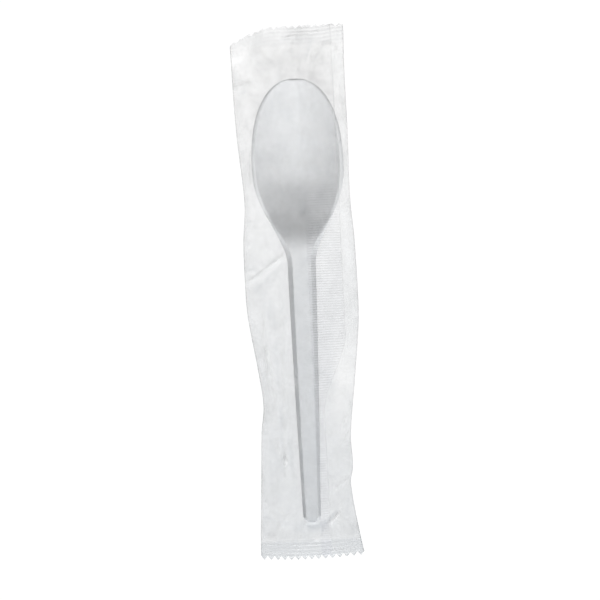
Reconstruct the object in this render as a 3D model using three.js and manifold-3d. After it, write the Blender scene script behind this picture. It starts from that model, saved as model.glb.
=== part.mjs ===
// A disposable spoon sealed in a clear film pouch, lying flat with the hollow of its bowl up.
// Millimetres. +Z is up, +Y runs from the handle to the bowl, and the origin is under the middle.
import * as THREE from "three";
import { mergeVertices } from "three/addons/utils/BufferGeometryUtils.js";
import Module from "manifold-3d";

const wasm = await Module();
wasm.setup();
const mix = THREE.MathUtils.lerp;
const clamp = THREE.MathUtils.clamp;

// Spoon, seen from above
const spoonLength = 165;
const bowlWidth = 34;
const tipToWidest = 32;
const widestToNeck = 37;
const neckWidth = 10.4;
const handleEndWidth = 6.5;
const handleEndRadius = 2.2;
const noseBluntness = 2.25; // 2 is half an ellipse, and more is blunter
const shoulderLag = 1.25; // above 1 the bowl stays wide for longer before the neck
const handleTaper = 1.3; // above 1 the handle keeps its width for longer

// Spoon, across its section
const wall = 1.2;
const rimThickness = 1.4;
const rimLip = 1.3;
const widestLip = 0.45; // of the half width, where the spoon is narrow
const rimRound = 0.3;
const bowlDepth = 6.5;
const hollowSquareness = 2.4; // 2 is a parabola, and more has a flatter floor
const channelRiseAtNeck = 2.8; // from the foot's top edge up to the handle's face
const channelRiseAtEnd = 2.2;
const bevelAtNeck = 1.8;
const bevelAtEnd = 1.1;
const footThickness = 1.2;
const faceCorner = 0.5;
const endWall = 1.3;
const endStep = 0.3;

// Spoon, seen from the side: distances from the tip
const deepestAt = 30;
const floorRiseFrom = 38;
const floorRiseTo = 63;
const channelFrom = 52;
const channelTo = 74;
const tipDip = 0.8;
const handleArch = 1.5;

// Where the spoon lies in the pouch
const tipX = 2.2;
const spoonTurn = THREE.MathUtils.degToRad(-0.52);
const tipRoom = 13; // from its tip to the top seal
const endRoom = 6.8; // from its handle's end to the bottom seal
const sideRoom = 4.6; // beside its bowl, with the pouch laid flat

// Pouch, laid flat
const filmGauge = 0.15;
const sealLength = 6.4;
const crimpPitch = 1.6;
const crimpDepth = 0.34;
const toothPitch = 2.7;
const toothDepth = 1.7;
const endBow = 1.7; // how far the cut end bulges at its middle
const cornerDrop = 8; // the top left corner is turned back by this
const cornerLift = 2.6;
const cornerFade = 17;
const ventRadius = 0.6;
const ventDepth = 2;
const ventFromEnd = 16;

// Pouch, as it lies over the spoon
const spoonClearance = 0.5;
const sealLift = 1.7;
const endRun = 9; // the length over which the back film rises to the seal
const edgeHeight = 0.95;
const edgeCurl = 0.3;
const pleatDepth = 0.42;
const lengthwisePull = 0.6; // against the pull across the pouch
const settlingPasses = 500;

// Fin seal down the front, folded over to the right
const finRootX = 3.7;
const finWidth = 13;
const finTuckedWidth = 3.8;
const finTuckFrom = 120; // from the top edge, where the flap starts to turn in on itself
const finTuckTo = 141;
const finRibPitch = 2.8;
const finRibDepth = 0.16;
const finGap = 0.4;
const finHeel = 1.5;

// How far each side of the pouch is drawn in, against its place from the bottom end (0) to the top (1)
const leftDrawIn = [
  [0, 2.5], [0.06, 3.0], [0.14, 3.9], [0.24, 5.0], [0.29, 6.2], [0.36, 4.8],
  [0.46, 2.0], [0.52, 1.6], [0.6, 1.8], [0.67, 2.9], [0.8, 1.2], [0.9, 0.6], [1, 1.0],
];
const rightDrawIn = [
  [0, 2.4], [0.06, 4.3], [0.14, 6.2], [0.17, 5.1], [0.23, 5.3], [0.34, 2.6],
  [0.44, 0.3], [0.51, 0], [0.6, 0.3], [0.67, 1.1], [0.8, 0.8], [0.9, 0.9], [1, 0.6],
];

const neckAt = tipToWidest + widestToNeck;
const pouchLength = sealLength + tipRoom + spoonLength + endRoom + sealLength;
const pouchWidth = bowlWidth + 2 * sideRoom;
const halfLength = pouchLength / 2;
const pouchTop = halfLength - sealLength;
const pouchBottom = -halfLength + sealLength;
const tipY = pouchTop - tipRoom;
const spoonRest = filmGauge + spoonClearance;

// A slow start and a slow end between 0 and 1.
function ease(t) {
  const c = clamp(t, 0, 1);
  return c * c * (3 - 2 * c);
}

function evenly(from, to, count) {
  return Array.from({ length: count }, (_, i) => mix(from, to, i / count));
}

// A smooth curve through a few [place, value] pairs.
function curveThrough(pairs) {
  const slopeAt = (i) => {
    const before = pairs[Math.max(i - 1, 0)];
    const after = pairs[Math.min(i + 1, pairs.length - 1)];
    return (after[1] - before[1]) / (after[0] - before[0]);
  };
  return (place) => {
    const p = clamp(place, pairs[0][0], pairs.at(-1)[0]);
    const i = Math.max(pairs.findIndex((pair) => pair[0] >= p), 1);
    const [a, b] = [pairs[i - 1], pairs[i]];
    const span = b[0] - a[0];
    const t = (p - a[0]) / span;
    const bend = (1 - t) * slopeAt(i - 1) - t * slopeAt(i) + ((2 * t - 1) * (b[1] - a[1])) / span;
    return mix(a[1], b[1], t) + t * (1 - t) * span * bend;
  };
}

// A closed skin over a row of rings from +Y to -Y. A ring runs over the top from left to right,
// through its first points, and then back underneath.
function loft(rings, pointsOnTop) {
  const size = rings[0].length;
  const positions = rings.flat().flatMap((p) => [p.x, p.y, p.z]);
  const index = [];
  for (let r = 0; r + 1 < rings.length; r++) {
    for (let i = 0; i < size; i++) {
      const a = r * size + i;
      const b = r * size + ((i + 1) % size);
      index.push(a, a + size, b, b, a + size, b + size);
    }
  }
  const lastRing = (rings.length - 1) * size;
  for (const [a, b, c] of endFaces(pointsOnTop, size)) {
    index.push(a, b, c, lastRing + a, lastRing + c, lastRing + b);
  }
  const geometry = new THREE.BufferGeometry();
  geometry.setAttribute("position", new THREE.Float32BufferAttribute(positions, 3));
  return geometry.setIndex(index);
}

// The triangles that fill a ring, zipped between its top row and its bottom row.
function endFaces(pointsOnTop, size) {
  const faces = [];
  let top = 0;
  let under = size - 1;
  while (top < pointsOnTop - 1 || under > pointsOnTop) {
    const topShare = top / (pointsOnTop - 1);
    const underShare = (size - 1 - under) / (size - 1 - pointsOnTop);
    if (under === pointsOnTop || (top < pointsOnTop - 1 && topShare <= underShare)) {
      faces.push([top, top + 1, under]);
      top += 1;
    } else {
      faces.push([top, under - 1, under]);
      under -= 1;
    }
  }
  return faces;
}

function toSolid(geometry) {
  const bare = geometry.clone();
  bare.deleteAttribute("normal");
  bare.deleteAttribute("uv");
  const merged = mergeVertices(bare, 1e-4);
  return new wasm.Manifold(
    new wasm.Mesh({
      numProp: 3,
      vertProperties: new Float32Array(merged.attributes.position.array),
      triVerts: new Uint32Array(merged.index.array),
    }),
  );
}

function toGeometry(solid) {
  const mesh = solid.getMesh();
  const geometry = new THREE.BufferGeometry();
  geometry.setAttribute("position", new THREE.BufferAttribute(mesh.vertProperties, 3));
  geometry.setIndex(new THREE.BufferAttribute(mesh.triVerts, 1));
  geometry.computeVertexNormals();
  return geometry;
}

// The spoon's half width, s millimetres from its tip: nose, shoulders, tapered handle, round end.
function spoonHalfWidth(s) {
  if (s < tipToWidest) {
    const back = (1 - s / tipToWidest) ** noseBluntness;
    return (bowlWidth / 2) * (1 - back) ** (1 / noseBluntness);
  }
  if (s < neckAt) {
    const along = (s - tipToWidest) / widestToNeck;
    return mix(bowlWidth, neckWidth, ease(along ** shoulderLag)) / 2;
  }
  const along = (s - neckAt) / (spoonLength - neckAt);
  const radius = Math.min(handleEndRadius, handleEndWidth / 2);
  const intoEnd = Math.max(0, s - (spoonLength - radius));
  const rounding = radius - Math.sqrt(Math.max(0, radius ** 2 - intoEnd ** 2));
  return mix(neckWidth, handleEndWidth, along ** handleTaper) / 2 - rounding;
}

// 0 in the bowl, 1 where the section is the handle's upturned channel.
const channelShare = (s) => ease((s - channelFrom) / (channelTo - channelFrom));

// Height of the bowl's rim, and past the neck of the top of the handle's foot.
function rimHeight(s) {
  const atDeepest = spoonRest + wall + bowlDepth;
  const atEnd = spoonRest + rimThickness;
  if (s < deepestAt) return atDeepest - tipDip * (1 - s / deepestAt) ** 2;
  const along = (s - deepestAt) / (spoonLength - deepestAt);
  return mix(atDeepest, atEnd, along ** handleArch);
}

function channelRise(s) {
  const along = clamp((s - neckAt) / (spoonLength - neckAt), 0, 1);
  return mix(channelRiseAtNeck, channelRiseAtEnd, along) * channelShare(s);
}

function lipWidth(s) {
  const along = clamp((s - neckAt) / (spoonLength - neckAt), 0, 1);
  const full = mix(rimLip, mix(bevelAtNeck, bevelAtEnd, along), channelShare(s));
  return Math.min(full, widestLip * spoonHalfWidth(s));
}

function hollowDepth(s) {
  const front = Math.abs(1 - s / deepestAt) ** hollowSquareness;
  const back = ease((s - floorRiseFrom) / (floorRiseTo - floorRiseFrom));
  return bowlDepth * (s < deepestAt ? 1 - front : 1 - back);
}

// One closed section: over the top from left to right, then back underneath.
function spoonSection(s) {
  const half = spoonHalfWidth(s);
  const lip = lipWidth(s);
  const share = channelShare(s);
  const rim = rimHeight(s);
  const rise = channelRise(s);
  const depth = hollowDepth(s);
  const shares = [1, 0.94, 0.86, 0.74, 0.58, 0.4, 0.2, 0, -0.2, -0.4, -0.58, -0.74, -0.86, -0.94, -1];
  const inner = half - lip;
  const bulge = (x, reach) => 1 - Math.min(1, Math.abs(x / reach)) ** hollowSquareness;
  const top = shares.map((u) => [-u * inner, rim + rise - depth * bulge(u, 1)]);
  const shoulderX = mix(half - Math.min(rimRound, lip / 2), inner + faceCorner / 2, share);
  const shoulderZ = rim + rise - faceCorner * share;
  const rimSide = [[half, rim - Math.min(rimRound, rimThickness / 2)], [shoulderX, shoulderZ]];

  const foot = rim - rimThickness;
  const reach = half - mix(Math.min(rimRound, lip / 2), Math.min(footThickness, half / 3), share);
  const ceilingX = mix(0.95 * reach, Math.min(reach, inner - wall / 3), share);
  const open = s < spoonLength - endWall ? 1 : 0;
  const sunk = depth + (1 - share) * (wall - rimThickness);
  const lifted = share * open * (rise + rimThickness - wall);
  const under = shares.map((u) => [u * ceilingX, foot - sunk * bulge(u * ceilingX, reach) + lifted]);
  const footSide = [[half, foot], [reach, foot]];
  const left = (pairs) => pairs.map(([x, z]) => [-x, z]);
  return [
    ...left(rimSide), ...top, ...rimSide.slice().reverse(),
    ...footSide, ...under, ...left(footSide).reverse(),
  ];
}

function makeSpoon() {
  const tipFlat = 0.05; // the nose ends in a small flat here
  const firstTurn = 0.07; // radians round the nose from its tip
  const nose = evenly(firstTurn, Math.PI / 2, 11).map((a) => tipToWidest * (1 - Math.cos(a)));
  const endRadius = Math.min(handleEndRadius, handleEndWidth / 2);
  const roundEnd = [0, 0.5, 0.8, 0.95, 1].map((t) => spoonLength - endRadius * (1 - t));
  const stations = [
    tipFlat,
    ...nose,
    ...evenly(tipToWidest, channelTo, 17),
    ...evenly(channelTo, spoonLength - endRadius - endStep, 9),
    ...roundEnd,
    spoonLength - endWall - endStep,
    spoonLength - endWall,
  ].sort((a, b) => a - b);
  const rings = stations.map((s) =>
    spoonSection(s).map(([x, z]) => new THREE.Vector3(x, s === tipFlat ? 0 : -s, z)),
  );
  return loft(rings, rings[0].length / 2);
}

// The pouch works in the pack's own frame, where the spoon's axis leans a little.
const spoonX = (y) => tipX + Math.tan(spoonTurn) * (tipY - y);
const fromTip = (y) => (tipY - y) / Math.cos(spoonTurn);

// The highest the spoon reaches at x, y, with its hollow bridged over.
function spoonTop(x, y) {
  const s = fromTip(y);
  if (s < 0 || s > spoonLength) return -Infinity;
  const inFromSide = spoonHalfWidth(s) - Math.abs(x - spoonX(y));
  if (inFromSide <= 0) return -Infinity;
  return rimHeight(s) + channelRise(s) * Math.min(1, inFromSide / lipWidth(s));
}

const leftCurve = curveThrough(leftDrawIn);
const rightCurve = curveThrough(rightDrawIn);
const placeAlong = (y) => (y + halfLength) / pouchLength;
const leftEdge = (y) => -pouchWidth / 2 + leftCurve(placeAlong(y));
const rightEdge = (y) => pouchWidth / 2 - rightCurve(placeAlong(y));

// Columns of the film: the middle, two to the edge of the handle's face, one on the rim, and then
// the slack skirt out to the fold at each side.
const rimColumn = 3;
const skirtSteps = 4;
const edgeColumn = rimColumn + skirtSteps;
const creaseColumn = rimColumn + 1; // the turned-back corner starts here
const noseHold = 2.2; // the columns close in no further than this short of the tip
const bowlFace = 0.74; // of the half width, where the bowl's outer column runs
function columnX(column, y) {
  const side = Math.sign(column);
  const k = Math.abs(column);
  const s = clamp(fromTip(y), noseHold, spoonLength - handleEndRadius);
  const half = spoonHalfWidth(s);
  const rim = half + spoonClearance;
  const face = mix(bowlFace * rim, half - lipWidth(s) + spoonClearance, channelShare(s));
  const middle = spoonX(clamp(y, tipY - spoonLength, tipY));
  if (k < rimColumn) return middle + (side * face * k) / (rimColumn - 1);
  const edge = side < 0 ? leftEdge(y) : rightEdge(y);
  return mix(middle + side * rim, edge, (k - rimColumn) / skirtSteps);
}

// Rows of the film from the bottom seal to the top one, closer where the spoon starts and ends.
const past = 2; // beyond each end of the spoon
function bodyRows() {
  const handleEnd = tipY - spoonLength;
  return [
    ...evenly(pouchBottom, handleEnd - past, 2),
    ...evenly(handleEnd - past, handleEnd + past, 2),
    ...evenly(handleEnd + past, tipY - neckAt, 20),
    ...evenly(tipY - neckAt, tipY - tipToWidest, 9),
    ...evenly(tipY - tipToWidest, tipY - 3 * past, 7),
    ...evenly(tipY - 3 * past, tipY + past, 4),
    ...evenly(tipY + past, pouchTop, 4),
    pouchTop,
  ];
}

// How far a row has climbed from the table towards the crimped ends, all of it beyond the spoon.
function endClimb(y) {
  const fromTop = (pouchTop - y) / Math.min(endRun, tipRoom);
  const fromBottom = (y - pouchBottom) / Math.min(endRun, endRoom);
  return sealLift * ease(1 - Math.min(fromTop, fromBottom));
}

const sealedHeight = sealLift + 2 * filmGauge;

function backHeight(column, y) {
  const atEdge = clamp(Math.abs(column) - edgeColumn + 1, 0, 1);
  return endClimb(y) + atEdge * edgeCurl * ease(1 - endClimb(y) / sealLift);
}

// The lowest that the front film lies over the back one, with a little air between them.
const thinnest = (column, y) => backHeight(column, y) + 3 * filmGauge;

// The front film, pulled taut over the spoon: each free point settles at the mean of its
// neighbours, and none sinks below the spoon and its clearance.
function drapeFront() {
  const place = rows.map((y) => columns.map((c) => columnX(c, y)));
  const justInside = 1.1 * spoonClearance; // so that the rim's own column stands on the rim
  const least = rows.map((y, r) => {
    const below = rows[Math.max(r - 1, 0)];
    const above = rows[Math.min(r + 1, rows.length - 1)];
    const near = [below, mix(below, y, 0.5), y, mix(y, above, 0.5), above];
    return place[r].map((x) => {
      const out = x - spoonX(y);
      const inward = Math.sign(out) * Math.max(0, Math.abs(out) - justInside);
      const highest = Math.max(...near.map((v) => spoonTop(spoonX(v) + inward, v)));
      return Math.max(highest + spoonClearance + filmGauge, thinnest(0, y));
    });
  });
  const height = rows.map((_, r) =>
    columns.map((_, i) => Math.max(least[r][i], isSealed(r) ? sealedHeight : edgeHeight)),
  );
  const last = columns.length - 1;
  rows.forEach((y, r) => {
    if (isSealed(r)) return;
    height[r][0] = Math.max(edgeHeight, thinnest(edgeColumn, y));
    height[r][last] = height[r][0];
  });
  for (let pass = 0; pass < settlingPasses; pass++) {
    for (let r = 1; r < rows.length - 1; r++) {
      const down = rows[r] - rows[r - 1];
      const up = rows[r + 1] - rows[r];
      for (let i = 1; i < last; i++) {
        const left = place[r][i] - place[r][i - 1];
        const right = place[r][i + 1] - place[r][i];
        const pulls = [
          [height[r][i - 1], 1 / (left * (left + right))],
          [height[r][i + 1], 1 / (right * (left + right))],
          [height[r - 1][i], lengthwisePull / (down * (down + up))],
          [height[r + 1][i], lengthwisePull / (up * (down + up))],
        ];
        const total = pulls.reduce((sum, [, weight]) => sum + weight, 0);
        const mean = pulls.reduce((sum, [z, weight]) => sum + z * weight, 0) / total;
        height[r][i] = Math.max(mean, least[r][i]);
      }
    }
  }
  return height;
}

// Lengthwise pleats in the slack film beside the handle and next to both seals.
function pleat(column, y) {
  const k = Math.abs(column);
  if (k <= rimColumn || k === edgeColumn) return 0;
  const besideHandle = ease((tipY - neckAt - y) / endRun) * ease((y - pouchBottom) / endRun);
  const atSeal = ease(1 - Math.min(pouchTop - y, y - pouchBottom) / (2 * endRun));
  const fade = ease(Math.min(pouchTop - y, y - pouchBottom) / (endRun / 2));
  return pleatDepth * (k % 2 ? 1 : -1) * Math.max(besideHandle, atSeal) * fade;
}

// The cut ends bow outwards, and the top left corner is turned back and up along a crease.
function bent(x, y, z, column = 0) {
  const towardEnd = ease((Math.abs(y) - pouchTop + endRun) / endRun);
  const bow = y < 0 ? endBow * ((2 * x) / pouchWidth) ** 2 * towardEnd : 0;
  const curl = clamp((-column - creaseColumn) / (edgeColumn - creaseColumn), 0, 1);
  const turned = ease((y - halfLength + cornerFade) / cornerFade) * curl;
  return new THREE.Vector3(x, y + bow - cornerDrop * turned, z + cornerLift * turned);
}

const rows = bodyRows();
const isSealed = (r) => r === 0 || r === rows.length - 1;
const columns = Array.from({ length: 2 * edgeColumn + 1 }, (_, i) => i - edgeColumn);
const backColumns = [-edgeColumn, 1 - edgeColumn, -creaseColumn, 0, edgeColumn - 1, edgeColumn];
const draped = drapeFront();

// The front film's height at one of its grid points.
function frontAt(r, i) {
  if (isSealed(r)) return draped[r][i];
  return Math.max(draped[r][i] + pleat(columns[i], rows[r]), thinnest(columns[i], rows[r]));
}

// One section of the pouch: the front from left to right, then the back from right to left. The
// inner skin lies one film gauge inside the outer one.
function outerRing(r) {
  const y = rows[r];
  const front = columns.map((c, i) => bent(columnX(c, y), y, frontAt(r, i), c));
  const back = backColumns.map((c) => bent(columnX(c, y), y, backHeight(c, y), c));
  return [...front, ...back.reverse()];
}

function innerRing(r) {
  const y = rows[r];
  const sealed = isSealed(r);
  const slit = filmGauge / 3; // half the height left open where the films meet at a seal
  const last = columns.length - 1;
  const edgeSpacing = columnX(edgeColumn, y) - columnX(edgeColumn - 1, y);
  const inset = (1.5 * filmGauge) / edgeSpacing;
  const within = (c) => clamp(c, inset - edgeColumn, edgeColumn - inset);
  const floor = (c) => backHeight(within(c), y) + filmGauge - (sealed ? slit : 0);
  const ceiling = columns.map((c, i) => {
    const [from, to] = [clamp(i - 1, 0, last - 2), clamp(i + 1, 2, last)];
    const rise = frontAt(r, to) - frontAt(r, from);
    const slope = rise / (columnX(columns[to], y) - columnX(columns[from], y));
    const outer = mix(frontAt(r, i), frontAt(r, clamp(i, 1, last - 1)), inset);
    const under = outer - filmGauge * Math.hypot(1, slope);
    return Math.max(sealed ? under + slit : under, floor(c) + slit);
  });
  const front = columns.map((c, i) => bent(columnX(within(c), y), y, ceiling[i], within(c)));
  const back = backColumns.map((c) => bent(columnX(within(c), y), y, floor(c), within(c)));
  return [...front, ...back.reverse()];
}

// How far the folded fin reaches from its root: its full flap, then what shows where it is tucked in.
function finTuck(y) {
  return ease((halfLength - y - finTuckFrom) / (finTuckTo - finTuckFrom));
}
const finVisibleWidth = (y) => mix(finWidth, finTuckedWidth, finTuck(y));

// The crimped end beyond the last row: both films pressed into one ribbed strip.
function crimpRings(fromY, toY) {
  const steps = Math.max(4, 2 * Math.round(sealLength / crimpPitch));
  return Array.from({ length: steps }, (_, i) => {
    const y = mix(fromY, toY, (i + 1) / steps);
    const wave = i === steps - 1 ? 0 : crimpDepth * (i % 2 ? -0.5 : 0.5);
    const front = columns.map((c) => {
      const x = columnX(c, y);
      const pressedFin = x > finRootX && x < finRootX + finVisibleWidth(y) ? 2 * filmGauge : 0;
      return bent(x, y, sealedHeight + wave + pressedFin, c);
    });
    const back = backColumns.map((c) => bent(columnX(c, y), y, sealLift + wave, c));
    return [...front, ...back.reverse()];
  });
}

// Height of the front film's own facets at any place, each of its cells being split along the
// diagonal from lower left to upper right.
function frontHeight(x, y) {
  const inRows = clamp(y, pouchBottom, pouchTop);
  const r = clamp(rows.findIndex((row) => row >= inRows) - 1, 0, rows.length - 2);
  const t = (inRows - rows[r]) / (rows[r + 1] - rows[r]);
  const places = columns.map((c) => mix(columnX(c, rows[r]), columnX(c, rows[r + 1]), t));
  const i = clamp(places.findIndex((p) => p >= x) - 1, 0, columns.length - 2);
  const u = clamp((x - places[i]) / (places[i + 1] - places[i]), 0, 1);
  const [a, b, c, d] = [frontAt(r, i), frontAt(r, i + 1), frontAt(r + 1, i), frontAt(r + 1, i + 1)];
  return t > u ? a + t * (c - a) + u * (d - c) : a + u * (b - a) + t * (d - b);
}

// The fin: a ribbed strip of both film edges, rooted right of the middle and laid to the right.
function makeFin() {
  const ribs = Math.round((pouchTop - pouchBottom) / finRibPitch);
  const rings = Array.from({ length: 2 * ribs + 1 }, (_, i) => {
    const y = mix(pouchTop + crimpPitch / 2, pouchBottom - crimpPitch / 2, i / (2 * ribs));
    const width = finVisibleWidth(y);
    const pressed = i < 2 || i > 2 * ribs - 2;
    const gap = pressed ? -filmGauge : finGap;
    const rib = (i % 2 ? 0.5 : -0.5) * finRibDepth;
    const places = [0, finHeel, mix(finHeel, width, 0.5), width];
    const film = places.map((p) => frontHeight(finRootX + p, y));
    const proud = places.map((p, k) => {
      if (k + 1 === places.length) return 0;
      const filmAt = (t) => frontHeight(finRootX + mix(p, places[k + 1], t), y);
      const over = (t) => filmAt(t) - mix(film[k], film[k + 1], t);
      return Math.max(0, ...evenly(0, 1, 10).map(over));
    });
    const lowest = film.map((z, k) => z + gap + rib + Math.max(proud[k], k ? proud[k - 1] : 0));
    const thick = 2 * filmGauge * (1 + finTuck(y));
    const root = finRootX - finHeel / 3;
    const front = places.map((p, k) =>
      k ? bent(finRootX + p, y, lowest[k] + thick) : bent(root, y, film[0] + filmGauge),
    );
    const back = places.map((p, k) =>
      k ? bent(finRootX + p, y, lowest[k]) : bent(root, y, film[0] - filmGauge / 2),
    );
    return [...front, ...back.reverse()];
  });
  return loft(rings, rings[0].length / 2);
}

// Everything beyond a zigzag line across the pouch, at its top or bottom end.
function toothCutter(end) {
  const clear = toothPitch;
  const reach = pouchWidth / 2; // up and down, well past the turned-back corner
  const y = end * halfLength;
  const endLine = columns.map((c) => bent(columnX(c, y), y, 0, c));
  const lineAt = (x) => {
    const i = clamp(endLine.findIndex((p) => p.x >= x) - 1, 0, endLine.length - 2);
    const share = (x - endLine[i].x) / (endLine[i + 1].x - endLine[i].x);
    return mix(endLine[i].y, endLine[i + 1].y, clamp(share, 0, 1));
  };
  const half = pouchWidth / 2;
  const tips = Math.ceil((half + clear) / toothPitch);
  const shape = new THREE.Shape();
  shape.moveTo(-tips * toothPitch - clear, y + end * clear);
  for (let i = -2 * tips; i <= 2 * tips; i++) {
    const x = (i * toothPitch) / 2;
    const inEnd = clamp(x, endLine[0].x, endLine.at(-1).x);
    shape.lineTo(x, lineAt(inEnd) - end * (filmGauge + (i % 2 ? toothDepth : 0)));
  }
  shape.lineTo(tips * toothPitch + clear, y + end * clear);
  const cutter = new THREE.ExtrudeGeometry(shape, { depth: 2 * reach, bevelEnabled: false });
  return cutter.translate(0, 0, -reach);
}

// A pin hole in the front film, which lets the air out of the pouch.
function makeVent() {
  const y = pouchBottom + ventFromEnd;
  const x = mix(leftEdge(y), spoonX(y), 0.5);
  const z = frontHeight(x, y);
  return new THREE.CylinderGeometry(ventRadius, ventRadius, ventDepth, 8)
    .rotateX(Math.PI / 2)
    .translate(x, y, z + ventDepth / 2 - 3 * filmGauge);
}

function makePouch() {
  const body = rows.map((_, r) => outerRing(r));
  const skin = [
    ...crimpRings(pouchTop, halfLength).reverse(),
    ...body.reverse(),
    ...crimpRings(pouchBottom, -halfLength),
  ];
  const outside = loft(skin, columns.length);
  const inside = loft(rows.map((_, r) => innerRing(r)).reverse(), columns.length);
  return toSolid(outside)
    .add(toSolid(makeFin()))
    .subtract(toSolid(inside))
    .subtract(toSolid(makeVent()))
    .subtract(toSolid(toothCutter(1)))
    .subtract(toSolid(toothCutter(-1)));
}

const mouldedPlastic = new THREE.MeshStandardMaterial({ color: 0xd6d9da, roughness: 0.45, metalness: 0 });
const clearFilm = new THREE.MeshStandardMaterial({
  color: 0xeef1f3, roughness: 0.25, metalness: 0, transparent: true, opacity: 0.4,
});

const spoon = new THREE.Mesh(makeSpoon(), mouldedPlastic);
spoon.name = "spoon";
spoon.position.set(tipX, tipY, 0);
spoon.rotation.z = spoonTurn;

const filmWrapper = new THREE.Mesh(toGeometry(makePouch()), clearFilm);
filmWrapper.name = "film_wrapper";

// The origin goes under the middle of the pouch's own box, at the height of the table.
const box = new THREE.Box3().setFromObject(filmWrapper);
const middle = box.getCenter(new THREE.Vector3());
const pack = new THREE.Group();
pack.add(spoon, filmWrapper);
pack.position.set(-middle.x, -middle.y, -box.min.z);

export default pack;
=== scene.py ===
import math
import bpy
import numpy as np
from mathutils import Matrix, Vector


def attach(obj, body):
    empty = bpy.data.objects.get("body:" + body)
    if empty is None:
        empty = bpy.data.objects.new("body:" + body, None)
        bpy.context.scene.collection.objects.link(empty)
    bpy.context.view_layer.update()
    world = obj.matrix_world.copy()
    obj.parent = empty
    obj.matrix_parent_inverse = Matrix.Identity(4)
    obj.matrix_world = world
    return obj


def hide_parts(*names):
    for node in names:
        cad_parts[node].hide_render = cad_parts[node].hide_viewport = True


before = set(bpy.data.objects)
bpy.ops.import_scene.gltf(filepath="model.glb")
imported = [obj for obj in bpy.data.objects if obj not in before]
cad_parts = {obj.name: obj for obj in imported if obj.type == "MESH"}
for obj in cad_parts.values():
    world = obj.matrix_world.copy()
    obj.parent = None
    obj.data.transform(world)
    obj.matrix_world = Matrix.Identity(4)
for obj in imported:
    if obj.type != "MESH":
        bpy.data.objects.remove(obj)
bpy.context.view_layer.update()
mm = 0.001
rng = np.random.default_rng(11)  # every random draw below comes from here, in the same order
print("frame loaded:", sorted(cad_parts))


# small tools

def ease(t):  # 0 to 1 with a soft start and end
    t = np.clip(t, 0, 1)
    return t * t * (3 - 2 * t)


def mix(a, b, t):
    return a + (b - a) * t


def around(value, middle, spread):  # a soft bump, 1 at its middle
    return np.exp(-((value - middle) / spread) ** 2)


def linearColour(hexText, alpha=1.0):  # sRGB hex to the linear values that Blender's sockets take
    parts = [int(hexText[i:i + 2], 16) / 255 for i in (1, 3, 5)]
    return [c / 12.92 if c <= 0.04045 else ((c + 0.055) / 1.055) ** 2.4 for c in parts] + [alpha]


def addNode(tree, kind, settings=(), inputs=(), links=()):
    # one node: its properties, its fixed sockets, and what is plugged into it
    node = tree.nodes.new(kind)
    for name, value in dict(settings).items():
        setattr(node, name, value)
    for name, value in dict(inputs).items():
        node.inputs[name].default_value = value
    for name, socket in dict(links).items():
        tree.links.new(socket, node.inputs[name])
    return node


def newMaterial(name):
    material = bpy.data.materials.new(name)
    material.use_nodes = True
    material.node_tree.nodes.clear()
    return material, material.node_tree


def meshObject(name, points, faces):
    mesh = bpy.data.meshes.new(name)
    mesh.from_pydata(np.asarray(points) * mm, [], faces)
    mesh.validate()
    mesh.shade_smooth()
    made = bpy.data.objects.new(name, mesh)
    bpy.context.scene.collection.objects.link(made)
    return made


def gridFaces(rowCount, columnCount, closed=False):
    rows = np.arange(rowCount - 1)[:, None]
    columns = np.arange(columnCount if closed else columnCount - 1)[None, :]
    nextColumn = (columns + 1) % columnCount
    a = rows * columnCount + columns
    b = rows * columnCount + nextColumn
    return np.stack([a, a + columnCount, b + columnCount, b], axis=-1).reshape(-1, 4).tolist()


# the spoon, in millimetres; s is the distance from its tip

spoonPlace = {
    "tipX": 1.90,
    "tipY": 79.40,
    "turn": math.radians(-0.52),
    "rest": 0.65,  # the film and a little air are under it
}
spoonForm = {
    "length": 165.0,
    "bowlWidth": 34.0,
    "tipToWidest": 32.0,
    "widestToNeck": 37.0,
    "neckWidth": 10.4,
    "endWidth": 6.5,
    "endRadius": 2.2,
    "noseBluntness": 2.25,  # 2 would be an ellipse
    "shoulderLag": 1.25,
    "handleTaper": 1.3,
    "wall": 1.2,
    "rimThickness": 1.4,
    "rimLip": 1.3,
    "lipShare": 0.45,  # of the half width, the most that the lip may take
    "rimRound": 0.3,
    "roundMiddle": 0.3,  # how far in and down the middle of that rounding lies, as a share
    "bowlDepth": 6.5,
    "deepestAt": 30.0,
    "floorRise": (35.5, 60.0),  # where the bowl's floor climbs to the neck
    "hollowSquareness": 2.4,
    "tipSquareness": 1.55,
    "tipDip": 1.4,
    "tipRound": (0.45, 0.8),  # the rim's drop at the very tip, and over what length
    "tipRoundCurve": 1.5,
    "channel": (48.5, 64.5),  # where the bowl turns into the handle's upturned channel
    "channelRise": (2.8, 2.2),  # at the neck and at the end
    "bevel": (1.8, 1.1),
    "footThickness": 1.2,
    "ceilingShare": 0.95,
    "faceCorner": 0.5,
    "endWall": 1.3,
    "handleArch": 1.5,
}
spoonRows = {
    "first": 0.03,
    "nose": 60,
    "noseStart": 0.05,  # radians round the nose, whose rows crowd together at the tip
    "body": 84,
    "handle": 90,
    "beforeEnd": 0.4,
    "end": 12,
    "wallStep": 0.15,  # over which the hollow under the handle stops at the end wall
    "across": 41,
    "sharpAbove": math.radians(38),
}
neckAt = spoonForm["tipToWidest"] + spoonForm["widestToNeck"]


def alongHandle(s):
    return np.clip((s - neckAt) / (spoonForm["length"] - neckAt), 0, 1)


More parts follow.
